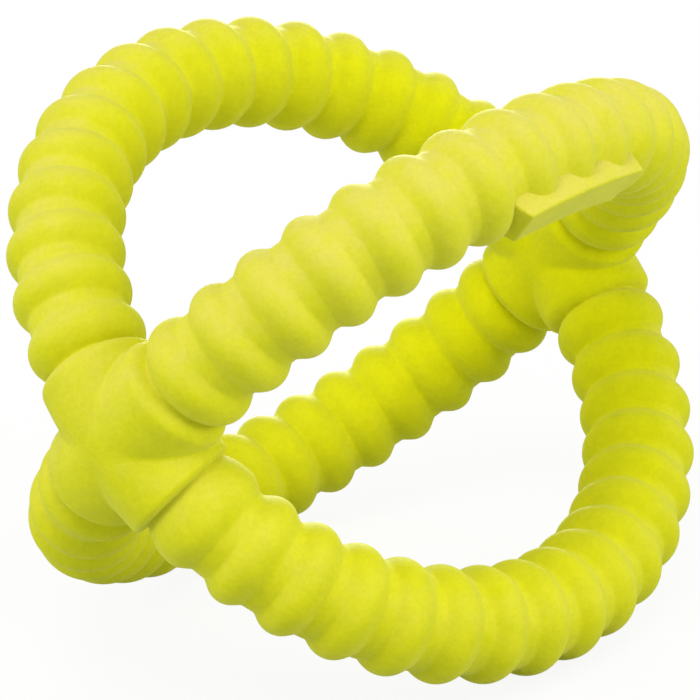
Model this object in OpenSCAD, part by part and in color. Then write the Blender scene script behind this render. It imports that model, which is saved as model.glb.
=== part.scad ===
// Rubber chew toy: an open ball of two equal ribbed rings that cross at right angles at two hubs.
// The hubs lie on X. The four arms bow out between them, so four wide windows lead into the ball.
// Each arm is a round rubber tube with closely set rounded ribs, and one arm carries a raised blank pad.

/* [Rings] */
// Radius of each ring, measured to the middle of its tube
ring_radius = 60; // [56:1:72]
// Radius of the tube at the bottom of the grooves between its ribs
groove_radius = 8.7; // [7:0.05:9]
// Height of a rib over the grooves beside it
rib_height = 1.75; // [1.2:0.05:2.2]
// Radius of the rounding that runs over each rib
rib_round = 4.2; // [3:0.1:4.4]
// Number of ribs on each arm
ribs_per_arm = 17; // [13:2:19]

/* [Hubs] */
// Height of the four smooth collars of a hub over the tops of the ribs
collar_over = 0.35; // [0:0.05:1.5]
// Radius of the rounding around the rim of a collar
rim_round = 3.1; // [2.4:0.1:3.6]
// Height by which the rounding would stand over the collar, which leaves a soft shoulder there
rim_over = 0.15; // [0.1:0.05:0.4]
// Height of the rounded rim's end over the groove beside it
rim_step = 0.2; // [0.1:0.1:1]
// Least distance from a rim to the foot of the first rib
rim_gap = 0.1; // [0.1:0.1:1]

/* [Pad] */
// Length of the raised pad along its arm
pad_length = 32; // [24:1:44]
// Width of the raised pad across its arm
pad_width = 10.5; // [8:0.5:12]
// Height of the pad's face over the tops of the ribs
pad_stand = 0.75; // [0.4:0.05:2]
// Width of tube left on each side of the pad at its seat, measured in a groove
pad_margin = 0.3; // [0.1:0.1:0.8]
// Width and height of the bevel around the pad's long edges
pad_bevel = 0.8; // [0.4:0.1:1.2]
// Distance along the arm from its middle to the middle of the pad, towards the left hub
pad_offset = 1; // [0:0.5:6]

/* [Hidden] */
$fn = 96;
rubber_colour = [0.87, 0.87, 0.22];
pad_colour = [0.87, 0.87, 0.26];
half_turn = 180;
quarter_turn = half_turn / 2;
// Where each arm's middle points, as an angle about X from straight up
front_top = quarter_turn / 2;
back_top = -front_top;
front_bottom = quarter_turn + front_top;
back_bottom = -front_bottom;
// The ribs keep the pitch of a full ring and leave out the places that the hub covers
rib_pitch = half_turn / (ribs_per_arm + 3);
first_rib = 2 * rib_pitch;
rib_radius = groove_radius + rib_height;
collar_radius = rib_radius + collar_over;
rib_centre = rib_radius - rib_round;
// Half the width of a rib where it rises from the groove, and how far its flank runs on into the tube
rib_half = sqrt(pow(rib_round, 2) - pow(groove_radius - rib_centre, 2));
rib_foot = 0.3;
// The collars end just short of the first rib, measured where the ring bends tightest
collar_angle = first_rib - asin((rib_half + rib_foot + rim_gap) / (ring_radius - groove_radius));
rim_centre = collar_radius + rim_over - rim_round;
// Length of a collar that the rounding of its rim takes up
rim_length = sqrt(pow(rim_round, 2) - pow(groove_radius + rim_step - rim_centre, 2));
// Half the side of the blocks that only bound a cut
reach = ring_radius / 2;
pad_middle = quarter_turn + angle_along(pad_offset);
pad_angle = angle_along(pad_length);
pad_face = rib_radius + pad_stand;
pad_seat = sqrt(pow(groove_radius, 2) - pow(pad_width / 2 + pad_margin, 2));
pad_inner = ring_radius - pad_width / 2;
pad_outer = ring_radius + pad_width / 2;

// Angle about a ring's middle that a length along its tube takes up
function angle_along(length) = length / ring_radius * half_turn / PI;

// Stands a ring's plane upright and turns it about X until the middle of the arm points the given way
module on_ring(turn) {
    rotate([turn, 0, 0])
        rotate([quarter_turn, 0, 0])
            children();
}

// Puts a round form on the tube at an angle from the hub, with its own axis along the tube
module on_tube(angle) {
    rotate([0, 0, angle])
        translate([ring_radius, 0, 0])
            rotate([quarter_turn, 0, 0])
                children();
}

// A stretch of the ring's tube from one angle, over the angle given
module tube(from, sweep, radius) {
    rotate([0, 0, from])
        rotate_extrude(angle = sweep)
            translate([ring_radius, 0])
                circle(r = radius);
}

// One rib: a disc across the tube, rounded over its top
module rib(angle) {
    on_tube(angle)
        rotate_extrude()
            intersection() {
                union() {
                    translate([rib_centre, 0])
                        circle(r = rib_round);
                    translate([0, -rib_round])
                        square([rib_centre, 2 * rib_round]);
                }
                translate([0, -rib_half - rib_foot])
                    square([rib_radius, 2 * (rib_half + rib_foot)]);
            }
}

// The ribbed tube between the rims of two hubs
module ribbed_tube() {
    tube(collar_angle, half_turn - 2 * collar_angle, groove_radius);
    for (i = [0 : ribs_per_arm - 1])
        rib(first_rib + i * rib_pitch);
}

// The raised pad in the plane of its ring: a curved bar with a flat face and bevelled long edges
module pad_form() {
    rotate([0, 0, pad_middle - pad_angle / 2])
        rotate_extrude(angle = pad_angle)
            polygon([
                [pad_inner, pad_seat],
                [pad_outer, pad_seat],
                [pad_outer, pad_face - pad_bevel],
                [pad_outer - pad_bevel, pad_face],
                [pad_inner + pad_bevel, pad_face],
                [pad_inner, pad_face - pad_bevel]
            ]);
}

// What lies behind a collar's rounded rim, measured back from its end
module rim_bound() {
    on_tube(collar_angle)
        rotate_extrude() {
            translate([rim_centre, rim_length])
                circle(r = rim_round);
            translate([0, -rim_round])
                square([rim_centre, rim_length + rim_round]);
            translate([0, rim_length])
                square([reach, reach]);
        }
}

// The quarter of a hub that one collar fills, bounded by the planes where it meets its neighbours
module mitre_bound() {
    rotate([quarter_turn, 0, quarter_turn])
        linear_extrude(height = ring_radius + reach)
            polygon([[0, 0], [reach, -reach], [reach, reach]]);
}

// One smooth collar with its rounded rim, mitred against the collars on both sides
module collar() {
    intersection() {
        tube(0, collar_angle, collar_radius);
        rim_bound();
        mitre_bound();
    }
}

module hub_form() {
    for (turn = [front_top, back_top, front_bottom, back_bottom])
        on_ring(turn)
            collar();
}

module hub_left() {
    color(rubber_colour)
        mirror([1, 0, 0])
            hub_form();
}

module hub_right() {
    color(rubber_colour)
        hub_form();
}

module arm_front_top() {
    color(rubber_colour)
        on_ring(front_top)
            difference() {
                ribbed_tube();
                pad_form();
            }
}

module arm_back_top() {
    color(rubber_colour)
        on_ring(back_top)
            ribbed_tube();
}

module arm_front_bottom() {
    color(rubber_colour)
        on_ring(front_bottom)
            ribbed_tube();
}

module arm_back_bottom() {
    color(rubber_colour)
        on_ring(back_bottom)
            ribbed_tube();
}

module blank_pad() {
    color(pad_colour)
        on_ring(front_top)
            pad_form();
}

hub_left();
hub_right();
arm_front_top();
arm_back_top();
arm_front_bottom();
arm_back_bottom();
blank_pad();
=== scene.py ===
"""Rubber chew toy: an open ball of two crossing ribbed rings, moulded in lime yellow rubber.

The toy lies on its two lower arms. The hubs lie on X, the side with the bare pad faces -Y,
and +Z is up. Sizes are in metres, and angles along an arm are counted from the right hub.
"""

import math

import bpy
import bmesh
import numpy as np
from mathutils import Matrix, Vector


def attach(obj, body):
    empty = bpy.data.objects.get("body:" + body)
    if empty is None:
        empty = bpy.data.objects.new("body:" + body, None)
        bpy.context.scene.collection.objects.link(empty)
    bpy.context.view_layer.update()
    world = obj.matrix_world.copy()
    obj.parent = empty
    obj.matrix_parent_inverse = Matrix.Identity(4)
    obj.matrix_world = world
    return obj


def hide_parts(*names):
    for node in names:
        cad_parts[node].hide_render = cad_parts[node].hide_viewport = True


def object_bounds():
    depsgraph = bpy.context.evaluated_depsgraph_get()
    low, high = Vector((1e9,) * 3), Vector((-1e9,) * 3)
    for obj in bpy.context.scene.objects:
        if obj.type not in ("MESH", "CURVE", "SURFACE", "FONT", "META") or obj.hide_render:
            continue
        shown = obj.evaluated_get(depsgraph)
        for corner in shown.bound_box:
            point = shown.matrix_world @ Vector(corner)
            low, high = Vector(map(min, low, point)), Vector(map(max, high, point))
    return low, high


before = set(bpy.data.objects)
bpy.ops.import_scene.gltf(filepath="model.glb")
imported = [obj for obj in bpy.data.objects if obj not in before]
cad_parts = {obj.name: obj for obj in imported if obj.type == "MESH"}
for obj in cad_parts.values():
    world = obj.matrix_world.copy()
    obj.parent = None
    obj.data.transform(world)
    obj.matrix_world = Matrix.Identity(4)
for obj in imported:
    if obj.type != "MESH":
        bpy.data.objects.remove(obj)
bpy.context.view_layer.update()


# ---- Camera ------------------------------------------------------------------
# A long lens that looks a little down on the toy from the left hub's side.
# The toy fills the picture, so one arm runs out of the middle towards the upper right.
CAMERA_PLACE = (-0.49555, -0.43242, 0.22842)
CAMERA_TURN = (70.623, 2.744, -49.642)
camera = bpy.data.objects.new("camera", bpy.data.cameras.new("camera"))
camera.data.sensor_width = 36.0
camera.data.lens = 197.26
camera.data.clip_start = 0.05
camera.data.clip_end = 20.0
camera.location = CAMERA_PLACE
camera.rotation_euler = [math.radians(angle) for angle in CAMERA_TURN]
bpy.context.scene.collection.objects.link(camera)
bpy.context.scene.camera = camera
bpy.context.scene.view_settings.view_transform = "Standard"


# ---- Ribbed arms -------------------------------------------------------------
# Four bowed arms of solid rubber, each a round tube with seventeen close, round-topped ribs.
# They are moulded in one with the hubs, and end in the narrow groove beside a hub's rim.
RING = 0.060
HALF_TURN = math.pi
# Points around a tube, and rows of them along an arm
AROUND = 160
ARM_ROWS = 561
# Radius at the bottom of the grooves and at the ribs' tops, and the rounding over a rib
GROOVE = 0.0087
RIB_TOP = 0.01045
RIB_ROUND = 0.0042
GROOVE_BLEND = 0.0012
# The ribs keep the pitch of a full ring, and the hub takes up the places before the first
RIBS = 17
FIRST_RIB = 2
PITCH = math.radians(9.0)
# A hub's collar and its rounded rim: where the rim ends, how far its rounding would stand over the
# collar, how far over the groove it ends, and how steeply it falls from there
COLLAR = 0.0108
RIM_ROUND = 0.0031
RIM_END = math.radians(13.73)
RIM_OVER = 0.00015
RIM_STEP = 0.0002
RIM_FALL = 8
RIM_BLEND = 0.0003
RIM_FOOT_BLEND = 0.0004
# The groove beside a rim is deeper than the others, and arms and hubs are parted in it
CUT = math.radians(14.15)
CAP_MARGIN = math.radians(0.01)
RIM_GROOVE = math.radians(14.2)
RIM_GROOVE_HALF = math.radians(0.6)
RIM_GROOVE_DEPTH = 0.0007
# What full snugness does: it widens the end rib, by a part that goes with the snugness and a part
# that goes with its fourth power, moves the groove and the rim to the hub, and sharpens the rim
SNUG_RIB = (0.24, 0.35)
SNUG_GROOVE = math.radians(2.0)
SNUG_RIM = math.radians(1.9)
SNUG_ROUND = 0.0021
# Each arm's turn about X, in degrees, and how the soft rubber has bent it between the stiff hubs,
# in metres: its middle's bow outwards, its middle's lean to the side, and its lean one way and then
# the other. The last two numbers are how snugly its end ribs press on the right hub's collar and on
# the left hub's.
arms = {
    "arm_front_top": (45.0, -0.0007, 0.0010, 0.0003, 0.0, 0.0),
    "arm_back_top": (-45.0, 0.0, -0.0015, 0.0, 0.0, 0.3),
    "arm_front_bottom": (135.0, 0.0, 0.0003, 0.0002, 0.3, 0.88),
    "arm_back_bottom": (-135.0, -0.0005, 0.0006, -0.0005, 0.2, 0.2),
}


def soft_max(a, b, width):
    """The larger of two lengths, with the corner between them rounded:
    larger + (width - difference)^2 / (4 width) where they differ by less than the width."""
    return np.maximum(a, b) + np.maximum(width - np.abs(a - b), 0) ** 2 / (4 * width)


def tube_radius(along, around, snug=0.0):
    """Radius of the rubber about its ring's middle line, at an angle along the ring and one around
    the tube. It is the softened larger of three: the bottom of the grooves, the nearest rib's round
    top, and the hub's collar with its rounded rim. Ribs and rims are discs that stand square on the
    tube, so a length beside one is the angle's sine times the distance from the ring's centre.
    Snug, from 0 to 1, ends the collar sooner in a crisper rim, with the first rib's flank run up
    to it."""
    near = np.minimum(along, HALF_TURN - along)
    lever = RING + (GROOVE + RIB_TOP) / 2 * np.cos(around)

    count = np.clip(np.round(along / PITCH), FIRST_RIB, FIRST_RIB + RIBS - 1)
    beside = lever * np.sin(along - count * PITCH)
    narrowed = beside * (1 - SNUG_RIB[0] * snug - SNUG_RIB[1] * snug**4)
    beside = np.where(near < FIRST_RIB * PITCH, narrowed, beside)
    rib = RIB_TOP - RIB_ROUND + np.sqrt(np.maximum(RIB_ROUND**2 - beside**2, 0))

    from_middle = (near - RIM_GROOVE + SNUG_GROOVE * snug**2) / RIM_GROOVE_HALF
    groove = GROOVE - RIM_GROOVE_DEPTH * np.exp(-(from_middle**2))
    ribbed = soft_max(groove, rib, GROOVE_BLEND)

    rim_round = RIM_ROUND - SNUG_ROUND * snug**2
    rim_centre = COLLAR + RIM_OVER - rim_round
    wall = np.maximum(rim_centre - GROOVE, 0)
    foot = np.maximum(GROOVE + RIM_STEP - rim_centre, 0)
    rim_length = np.sqrt(rim_round**2 - foot**2) + wall / RIM_FALL
    past = rim_length - lever * np.sin(RIM_END - SNUG_RIM * snug**2 - near)
    rim = rim_centre + np.sqrt(rim_round**2 - np.clip(past, 0, rim_round) ** 2)
    rim = rim - RIM_FALL * np.maximum(past - rim_round, 0)
    rim = -soft_max(-rim, -COLLAR, RIM_BLEND)
    return np.where(near < RIM_END + PITCH / 2, soft_max(ribbed, rim, RIM_FOOT_BLEND), ribbed)


def ring_axes(turn):
    """The three directions of a ring: along X to the right hub, to the middle of its arm, and
    square to its plane."""
    t = math.radians(turn)
    out = np.array([0.0, -math.sin(t), math.cos(t)])
    side = np.array([0.0, -math.cos(t), -math.sin(t)])
    return np.array([1.0, 0.0, 0.0]), out, side


def on_ring(turn, along, around, radius, bow=0.0, lean=0.0):
    """Point = (ring radius + bow + radius cos around) (cos along x X + sin along x out)
    + (lean + radius sin around) x side."""
    x_axis, out, side = ring_axes(turn)
    reach = (RING + bow + radius * np.cos(around))[..., None]
    across = (lean + radius * np.sin(around))[..., None]
    ray = np.cos(along)[..., None] * x_axis + np.sin(along)[..., None] * out
    return reach * ray + across * side


def grid_faces(rows, columns):
    """Four-cornered faces of a grid that closes on itself around its columns."""
    r, c = np.meshgrid(np.arange(rows - 1), np.arange(columns), indexing="ij")
    here, across = r * columns + c, r * columns + (c + 1) % columns
    return np.stack([here, across, across + columns, here + columns], axis=-1).reshape(-1, 4)


def cap_fan(first, columns, middle):
    """Triangles from one closed row of points to the point at its middle."""
    c = np.arange(columns)
    return np.stack([first + c, first + (c + 1) % columns, np.full(columns, middle)], axis=-1)


# Painted highlight on the rubber, a pale whitish colour that stands in for the paleness of lit
# faces:
# an even share that fades out between two places along X, a share on faces that look up and out,
# and a share towards the crown of the arm with the pad, more on faces that look up. That last share
# grows between two distances from the ball's middle.
HIGHLIGHT_EVEN = 0.12
HIGHLIGHT_FADE = (0.008, 0.058)
HIGHLIGHT_UP = 0.75
HIGHLIGHT_CROWN = 0.15
HIGHLIGHT_CROWN_UP = 0.1
CROWN = (0.005, 0.050)
# Points closer than this are one point
MERGE = 2e-7


def painted_highlight_share(place, normal):
    """Share of painted highlight, a pale colour standing in for light on lit faces: even share x
    fade along X + up share x the normal's upward part x its outward part
    + (crown share + crown's up share x upward part) x smooth step of the height to the crown."""
    outward = np.sum(normal * place, axis=1) / np.linalg.norm(place, axis=1)
    up = np.clip(normal[:, 2], 0, 1)
    height = place @ ring_axes(arms["arm_front_top"][0])[1]
    crown = np.clip((height - CROWN[0]) / (CROWN[1] - CROWN[0]), 0, 1)
    crown = crown**2 * (3 - 2 * crown)
    fade = np.clip((HIGHLIGHT_FADE[1] - place[:, 0]) / (HIGHLIGHT_FADE[1] - HIGHLIGHT_FADE[0]), 0, 1)
    share = HIGHLIGHT_EVEN * fade + HIGHLIGHT_UP * up * np.clip(outward, 0, 1)
    return share + (HIGHLIGHT_CROWN + HIGHLIGHT_CROWN_UP * up) * crown


def rubber_mesh(name, points, faces, fans):
    """A mesh object from arrays of points and faces. Doubles are merged, faces turned outwards, and
    the edges between a flat end cap (a fan round its middle point) and the tube are kept sharp.
    Its attribute of painted highlight holds the share of that painted highlight at each point."""
    mesh = bpy.data.meshes.new(name)
    triangles = [face.tolist() for fan in fans for face in fan]
    mesh.from_pydata(points.tolist(), [], faces.tolist() + triangles)
    piece = bpy.data.objects.new(name, mesh)
    bpy.context.scene.collection.objects.link(piece)
    bm = bmesh.new()
    bm.from_mesh(mesh)
    bmesh.ops.remove_doubles(bm, verts=bm.verts, dist=MERGE)
    bmesh.ops.recalc_face_normals(bm, faces=bm.faces)
    for face in bm.faces:
        face.smooth = True
    for edge in bm.edges:
        if len({len(f.verts) for f in edge.link_faces}) == 2:
            edge.smooth = False
    bm.to_mesh(mesh)
    bm.free()
    place, normal = np.empty((2, 3 * len(mesh.vertices)))
    mesh.vertices.foreach_get("co", place)
    mesh.vertex_normals.foreach_get("vector", normal)
    # The share of painted highlight, a pale colour standing in for light on lit faces, at each
    # point
    share = painted_highlight_share(place.reshape(-1, 3), normal.reshape(-1, 3)).astype(np.float32)
    mesh.attributes.new("painted_highlight", "FLOAT", "POINT").data.foreach_set("value", share)
    return piece


def ribbed_arm(name, turn, bow, lean, sway, snug_right, snug_left):
    """One arm: tube_radius carried along its ring from cut to cut, with a flat cap at each end.
    The bends are sines of the share of the way along: one half wave for bow and lean, and a whole
    wave for sway."""
    start, stop = CUT, HALF_TURN - CUT
    inner = np.linspace(start, stop, ARM_ROWS)[1:-1]
    rows = np.concatenate([[start, start + CAP_MARGIN], inner, [stop - CAP_MARGIN, stop]])
    around = np.linspace(0, 2 * math.pi, AROUND, endpoint=False)
    along, theta = np.meshgrid(rows, around, indexing="ij")
    share = math.pi * (along - start) / (stop - start)
    across = lean * np.sin(share) + sway * np.sin(2 * share)
    snug = np.where(along < HALF_TURN / 2, snug_right, snug_left)
    radius = tube_radius(along, theta, snug)
    shell = on_ring(turn, along, theta, radius, bow * np.sin(share), across).reshape(-1, 3)
    middles = on_ring(turn, np.array([start, stop]), np.zeros(2), np.zeros(2))
    total = len(rows) * AROUND
    fans = [cap_fan(0, AROUND, total), cap_fan(total - AROUND, AROUND, total + 1)]
    return rubber_mesh(name, np.vstack([shell, middles]), grid_faces(len(rows), AROUND), fans)


# The rubber's colours, as linear red, green and blue: the two ends of its clouds, and the pale
# whitish colour of its painted highlight, which stands in for light on lit faces
DEEP_LIME = (0.662, 0.665, 0.0003, 1)
PALE_LIME = (0.77, 0.755, 0.0005, 1)
HIGHLIGHT_PALE = (0.74, 0.68, 0.1, 1)
# Three noises, each as its waves in a metre, its finer layers and their strength
CLOUDS = (180.0, 8.0, 0.7)
PATCHES = (300.0, 4.0, 0.6)
GRAIN = (1200.0, 4.0, 0.6)
# The part of a noise's range that carries nearly all of its values, and the factors that it is
# spread to, on the painted highlight and on the colour
NOISE_LOW, NOISE_HIGH = 0.3, 0.7
ON_HIGHLIGHT = (0.6, 1.4)
ON_COLOUR = (0.965, 1.035)


def rubber_noise(tree, place, scale, detail, roughness):
    """Socket of a noise on the piece's own place: its waves in a metre, its finer layers, and their
    strength."""
    noise = tree.nodes.new("ShaderNodeTexNoise")
    noise.inputs["Scale"].default_value = scale
    noise.inputs["Detail"].default_value = detail
    noise.inputs["Roughness"].default_value = roughness
    tree.links.new(place, noise.inputs["Vector"])
    return noise.outputs["Fac"]


def spread(tree, noise, low, high):
    """Socket of a factor that runs from low to high over the noise's range."""
    factor = tree.nodes.new("ShaderNodeMapRange")
    factor.inputs["From Min"].default_value = NOISE_LOW
    factor.inputs["From Max"].default_value = NOISE_HIGH
    factor.inputs["To Min"].default_value = low
    factor.inputs["To Max"].default_value = high
    tree.links.new(noise, factor.inputs["Value"])
    return factor.outputs["Result"]


def lime_rubber():
    """Lime yellow moulded rubber: faint clouds of paler and deeper yellow, a patchy painted
    highlight of pale whitish colour that stands in for light where the pieces' highlight attribute
    puts it, fine pores, and a soft dull gloss."""
    material = bpy.data.materials.new("lime rubber")
    material.use_nodes = True
    tree = material.node_tree
    nodes, links = tree.nodes, tree.links
    shader = nodes["Principled BSDF"]
    place = nodes.new("ShaderNodeTexCoord").outputs["Object"]

    clouds = nodes.new("ShaderNodeValToRGB")
    deep, pale = clouds.color_ramp.elements
    deep.position, deep.color = NOISE_LOW, DEEP_LIME
    pale.position, pale.color = NOISE_HIGH, PALE_LIME
    links.new(rubber_noise(tree, place, *CLOUDS), clouds.inputs["Fac"])

    # Painted highlight: a pale whitish colour standing in for light on lit faces, mixed over the
    # clouds by the attribute and the patches
    highlight_share_node = nodes.new("ShaderNodeAttribute")
    highlight_share_node.attribute_name = "painted_highlight"
    patches = spread(tree, rubber_noise(tree, place, *PATCHES), *ON_HIGHLIGHT)
    amount = nodes.new("ShaderNodeMath")
    amount.operation = "MULTIPLY"
    links.new(highlight_share_node.outputs["Fac"], amount.inputs[0])
    links.new(patches, amount.inputs[1])
    painted_highlight = nodes.new("ShaderNodeMix")
    painted_highlight.data_type = "RGBA"
    painted_highlight.inputs["B"].default_value = HIGHLIGHT_PALE
    links.new(amount.outputs["Value"], painted_highlight.inputs["Factor"])
    links.new(clouds.outputs["Color"], painted_highlight.inputs["A"])

    grain = rubber_noise(tree, place, *GRAIN)
    speckled = nodes.new("ShaderNodeMix")
    speckled.data_type = "RGBA"
    speckled.blend_type = "MULTIPLY"
    speckled.inputs["Factor"].default_value = 1.0
    links.new(painted_highlight.outputs["Result"], speckled.inputs["A"])
    links.new(spread(tree, grain, *ON_COLOUR), speckled.inputs["B"])
    links.new(speckled.outputs["Result"], shader.inputs["Base Color"])
    pores = nodes.new("ShaderNodeBump")
    pores.inputs["Strength"].default_value = 0.9
    pores.inputs["Distance"].default_value = 0.00012
    links.new(grain, pores.inputs["Height"])
    links.new(pores.outputs["Normal"], shader.inputs["Normal"])

    shader.inputs["Roughness"].default_value = 0.65
    shader.inputs["IOR"].default_value = 1.5
    shader.inputs["Specular IOR Level"].default_value = 0.05
    shader.inputs["Specular Tint"].default_value = (1.0, 1.0, 0.1, 1)
    shader.inputs["Sheen Weight"].default_value = 0.12
    shader.inputs["Sheen Roughness"].default_value = 0.5
    return material


rubber = lime_rubber()
for arm_name, bends in arms.items():
    arm = ribbed_arm(arm_name + "_rubber", *bends)
    arm.data.materials.append(rubber)
    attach(arm, "root")
    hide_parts(arm_name)


# ---- Hubs --------------------------------------------------------------------
# Where the rings cross, four smooth collars run together in a solid knot of the same rubber.
# The collars meet on the diagonals in creases that are soft at the poles and crisp in the valleys.
CREASE = 0.0005
# Rows of points along a collar, and how often a crease's place and a radius are worked out again
HUB_ROWS = 111
CREASE_STEPS = 60
RADIUS_STEPS = 24


def knot_radius(along, around, snug):
    """Radius of one collar's share of the knot: the bisected root of the softened smaller of two
    depths, this ring's (distance to its middle line less tube_radius) and the crossing ring's."""
    own_radius = tube_radius(along, around, snug)
    low = own_radius
    high = low + CREASE / 4
    for _ in range(RADIUS_STEPS):
        radius = (low + high) / 2
        reach = RING + radius * np.cos(around)
        x, out, side = reach * np.cos(along), reach * np.sin(along), radius * np.sin(around)
        from_line = np.hypot(x, side) - RING
        along_crossing = np.arctan2(np.abs(side), x)
        around_crossing = np.arctan2(out, from_line)
        other = np.hypot(out, from_line) - tube_radius(along_crossing, around_crossing)
        depth = -soft_max(own_radius - radius, -other, CREASE)
        low = np.where(depth < 0, radius, low)
        high = np.where(depth < 0, high, radius)
    return (low + high) / 2


def knot(name, mirror):
    """Both sides of four collars, from the diagonal creases out to the cuts. A crease lies where a
    point's height over the ring's plane equals its distance out along the arm:
    (ring radius + radius cos around) sin along = radius |sin around|. There both depths are equal,
    so soft_max adds a quarter of its width to the radius."""
    around = np.linspace(0, 2 * math.pi, AROUND, endpoint=False)
    crease = np.zeros(AROUND)
    for _ in range(CREASE_STEPS):
        on_crease = tube_radius(crease, around) + CREASE / 4
        height = on_crease * np.abs(np.sin(around))
        crease = np.arcsin(height / (RING + on_crease * np.cos(around)))
    on_crease = tube_radius(crease, around) + CREASE / 4
    along = crease + np.linspace(0, 1, HUB_ROWS)[:, None] * (CUT - crease)
    along = np.insert(along, -1, CUT - CAP_MARGIN, axis=0)
    theta = np.broadcast_to(around, along.shape)
    rows = along.shape[0]
    points, faces, fans = [], [], []
    first = 0
    for turn, _, _, _, snug_right, snug_left in arms.values():
        radius = knot_radius(along, theta, snug_left if mirror < 0 else snug_right)
        radius[0] = on_crease
        points.append(on_ring(turn, along, theta, radius).reshape(-1, 3))
        points.append(on_ring(turn, np.array([CUT]), np.zeros(1), np.zeros(1)))
        faces.append(grid_faces(rows, AROUND) + first)
        middle = first + rows * AROUND
        fans.append(cap_fan(middle - AROUND, AROUND, middle))
        first = middle + 1
    points = np.vstack(points) * np.array([mirror, 1.0, 1.0])
    return rubber_mesh(name, points, np.vstack(faces), fans)


for hub_name, mirror in (("hub_left", -1.0), ("hub_right", 1.0)):
    hub = knot(hub_name + "_rubber", mirror)
    hub.data.materials.append(rubber)
    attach(hub, "root")
    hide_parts(hub_name)


# ---- Pad ---------------------------------------------------------------------
# A raised block on the front top arm, moulded in one with its ribs. Its flat face is bare.
# Its edges are crisp. Its inner side and its ends lean in towards the face, which frees the mould.
# Its middle and half its length along the arm, its sides as distances from the ring's centre, and
# the heights of its face and its seat over the ring's plane
PAD_MIDDLE = math.radians(90.95)
PAD_HALF = math.radians(15.28)
PAD_IN, PAD_OUT = 0.05475, 0.06525
PAD_FACE = 0.0112
PAD_SEAT = 0.006
PAD_EDGE = 0.0005
# Rows of points along the pad, and points over a rounded edge
PAD_ROWS = 60
EDGE_POINTS = 7
# How far the inner side leans in at the face, and the share by which each half's end leans in there
PAD_LEAN = 0.0016
LEFT_LEAN, RIGHT_LEAN = 0.125, 0.03


def pad_section(inset):
    """The pad's cross-section in (distance from the ring's centre, height): a block with rounded
    top corners and a leaning inner side, drawn in by the inset on its sides and its face."""
    bend = np.linspace(0, math.pi / 2, EDGE_POINTS)
    left, right, top = PAD_IN + inset, PAD_OUT - inset, PAD_FACE - inset
    turned, risen = PAD_EDGE * (1 - np.cos(bend)), PAD_EDGE * (1 - np.sin(bend))
    outer = np.stack([right - turned, top - risen], axis=-1)
    inner = np.stack([left + PAD_LEAN + risen, top - turned], axis=-1)
    return np.vstack([[[right, PAD_SEAT]], outer, inner, [[left, PAD_SEAT]]])


def bare_pad(name):
    """pad_section carried along the arm, drawn in over a quarter circle at each end, with flat end
    caps. A point's angle from the pad's middle shrinks by its half's lean x its share of the way
    from the seat to the face."""
    bend = np.linspace(0, math.pi / 2, EDGE_POINTS)
    edge = PAD_EDGE / RING
    start, stop = PAD_MIDDLE - PAD_HALF, PAD_MIDDLE + PAD_HALF
    turned, insets = edge * (1 - np.cos(bend)), PAD_EDGE * (1 - np.sin(bend))
    body = np.linspace(start + edge, stop - edge, PAD_ROWS)[1:-1]
    stations = np.concatenate([start + turned, body, stop - turned[::-1]])
    inset = np.concatenate([insets, np.zeros(len(body)), insets[::-1]])
    sections = np.stack([pad_section(i) for i in inset])
    rise = np.clip((sections[..., 1] - PAD_SEAT) / (PAD_FACE - PAD_SEAT), 0, 1)
    from_middle = (stations - PAD_MIDDLE)[:, None]
    lean_in = np.where(from_middle > 0, LEFT_LEAN, RIGHT_LEAN) * rise
    turns = (PAD_MIDDLE + from_middle * (1 - lean_in))[..., None]

    turn, bow, lean = arms["arm_front_top"][:3]
    x_axis, out, side = ring_axes(turn)
    ray = np.cos(turns) * x_axis + np.sin(turns) * out
    points = (sections[..., :1] + bow) * ray + (sections[..., 1:] + lean) * side
    rows, columns = points.shape[:2]
    middles = points[[0, -1]].mean(axis=1)
    total = rows * columns
    fans = [cap_fan(0, columns, total), cap_fan(total - columns, columns, total + 1)]
    shell = points.reshape(-1, 3)
    return rubber_mesh(name, np.vstack([shell, middles]), grid_faces(rows, columns), fans)


pad = bare_pad("bare_pad")
pad.data.materials.append(rubber)
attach(pad, "root")
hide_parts("blank_pad")


# ---- Floor and backdrop ------------------------------------------------------
# A plain white studio sweep: the floor lies under the two lower arms and keeps the toy's soft
# shadow. The camera sees it mostly as white, and the world behind it is the same white.
FLOOR_HALF = 4.0
WHITE = (1, 1, 1, 1)
# The floor's colour as the toy sees it and as the camera does, and the plain white mixed in there
CARD_LIT = (0.5, 0.54, 0.54, 1)
CARD_SEEN = (0.9, 0.9, 0.9, 1)
CARD_WHITE = 0.9
ROOM_LIGHT = (0.90, 1.0, 1.0, 1)
ROOM_STRENGTH = 0.455


def seen_rays(tree):
    """Socket that is 1 on rays from the camera, from gloss and through clear things, and else 0."""
    ray = tree.nodes.new("ShaderNodeLightPath")
    seen = ray.outputs["Is Camera Ray"]
    for kind in ("Is Glossy Ray", "Is Transmission Ray"):
        either = tree.nodes.new("ShaderNodeMath")
        either.operation = "MAXIMUM"
        tree.links.new(seen, either.inputs[0])
        tree.links.new(ray.outputs[kind], either.inputs[1])
        seen = either.outputs["Value"]
    return seen


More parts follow.
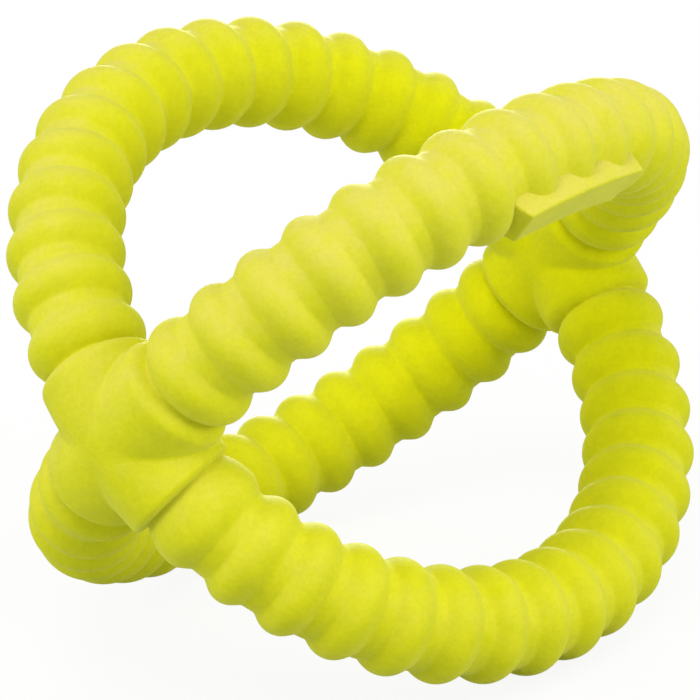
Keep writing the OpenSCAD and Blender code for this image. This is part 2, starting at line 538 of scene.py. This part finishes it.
def white_sweep():
    """Matt card that lights the toy as a pale grey, and that the camera and the gloss see as nearly
    plain white."""
    material = bpy.data.materials.new("white sweep")
    material.use_nodes = True
    nodes, links = material.node_tree.nodes, material.node_tree.links
    nodes.clear()
    seen = seen_rays(material.node_tree)
    tint = nodes.new("ShaderNodeMix")
    tint.data_type = "RGBA"
    tint.inputs["A"].default_value = CARD_LIT
    tint.inputs["B"].default_value = CARD_SEEN
    card = nodes.new("ShaderNodeBsdfDiffuse")
    links.new(seen, tint.inputs["Factor"])
    links.new(tint.outputs["Result"], card.inputs["Color"])

    share = nodes.new("ShaderNodeMath")
    share.operation = "MULTIPLY"
    share.inputs[1].default_value = CARD_WHITE
    white = nodes.new("ShaderNodeEmission")
    white.inputs["Color"].default_value = WHITE
    white.inputs["Strength"].default_value = 1.0
    mix = nodes.new("ShaderNodeMixShader")
    surface = nodes.new("ShaderNodeOutputMaterial")
    links.new(seen, share.inputs[0])
    links.new(share.outputs["Value"], mix.inputs["Fac"])
    links.new(card.outputs["BSDF"], mix.inputs[1])
    links.new(white.outputs["Emission"], mix.inputs[2])
    links.new(mix.outputs["Shader"], surface.inputs["Surface"])
    return material


def white_room():
    """World that lights the toy evenly and a little coolly, and that the camera sees as white."""
    world = bpy.data.worlds.new("studio")
    world.use_nodes = True
    nodes, links = world.node_tree.nodes, world.node_tree.links
    nodes.clear()
    room = nodes.new("ShaderNodeBackground")
    room.inputs["Color"].default_value = ROOM_LIGHT
    room.inputs["Strength"].default_value = ROOM_STRENGTH
    backdrop = nodes.new("ShaderNodeBackground")
    backdrop.inputs["Color"].default_value = WHITE
    backdrop.inputs["Strength"].default_value = 1.0
    mix = nodes.new("ShaderNodeMixShader")
    surface = nodes.new("ShaderNodeOutputWorld")
    links.new(seen_rays(world.node_tree), mix.inputs["Fac"])
    links.new(room.outputs["Background"], mix.inputs[1])
    links.new(backdrop.outputs["Background"], mix.inputs[2])
    links.new(mix.outputs["Shader"], surface.inputs["Surface"])
    return world


floor_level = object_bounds()[0].z
corners = np.array([[-1, -1], [1, -1], [1, 1], [-1, 1]]) * FLOOR_HALF
floor_mesh = bpy.data.meshes.new("floor")
floor_mesh.from_pydata([(x, y, floor_level) for x, y in corners], [], [(0, 1, 2, 3)])
floor_mesh.materials.append(white_sweep())
floor = bpy.data.objects.new("floor", floor_mesh)
bpy.context.scene.collection.objects.link(floor)
bpy.context.scene.world = white_room()


# ---- Lamps -------------------------------------------------------------------
# Large soft boxes: a slightly warm key hangs over the toy on the camera's side, two fills stand to
# its left and right, and a low lamp behind it lights the far arms.

# Each lamp's place, its width, its watts and its warmth
soft_boxes = {
    "key": ((-0.52, -0.28, 1.16), 0.8, 8.0, 0.06),
    "left": ((-1.00, 0.65, 0.40), 1.0, 5.7, 0.03),
    "right": ((0.39, -1.19, 0.35), 1.0, 8.4, 0.03),
    "back": ((1.00, 0.88, 0.15), 0.4, 12.0, 0.0),
}


def soft_box(name, place, width, watts, warmth):
    """A square lamp that faces the toy's middle. Warmth is the share taken off its green, and twice
    that is taken off its blue."""
    data = bpy.data.lights.new(name, "AREA")
    data.shape = "SQUARE"
    data.size = width
    data.energy = watts
    data.color = (1.0, 1.0 - warmth, 1.0 - 2 * warmth)
    lamp = bpy.data.objects.new(name, data)
    lamp.location = place
    x, y, z = place
    lamp.rotation_euler = (math.atan2(math.hypot(x, y), z), 0.0, math.atan2(-y, -x) - math.pi / 2)
    bpy.context.scene.collection.objects.link(lamp)


for lamp_name, setting in soft_boxes.items():
    soft_box(lamp_name, *setting)
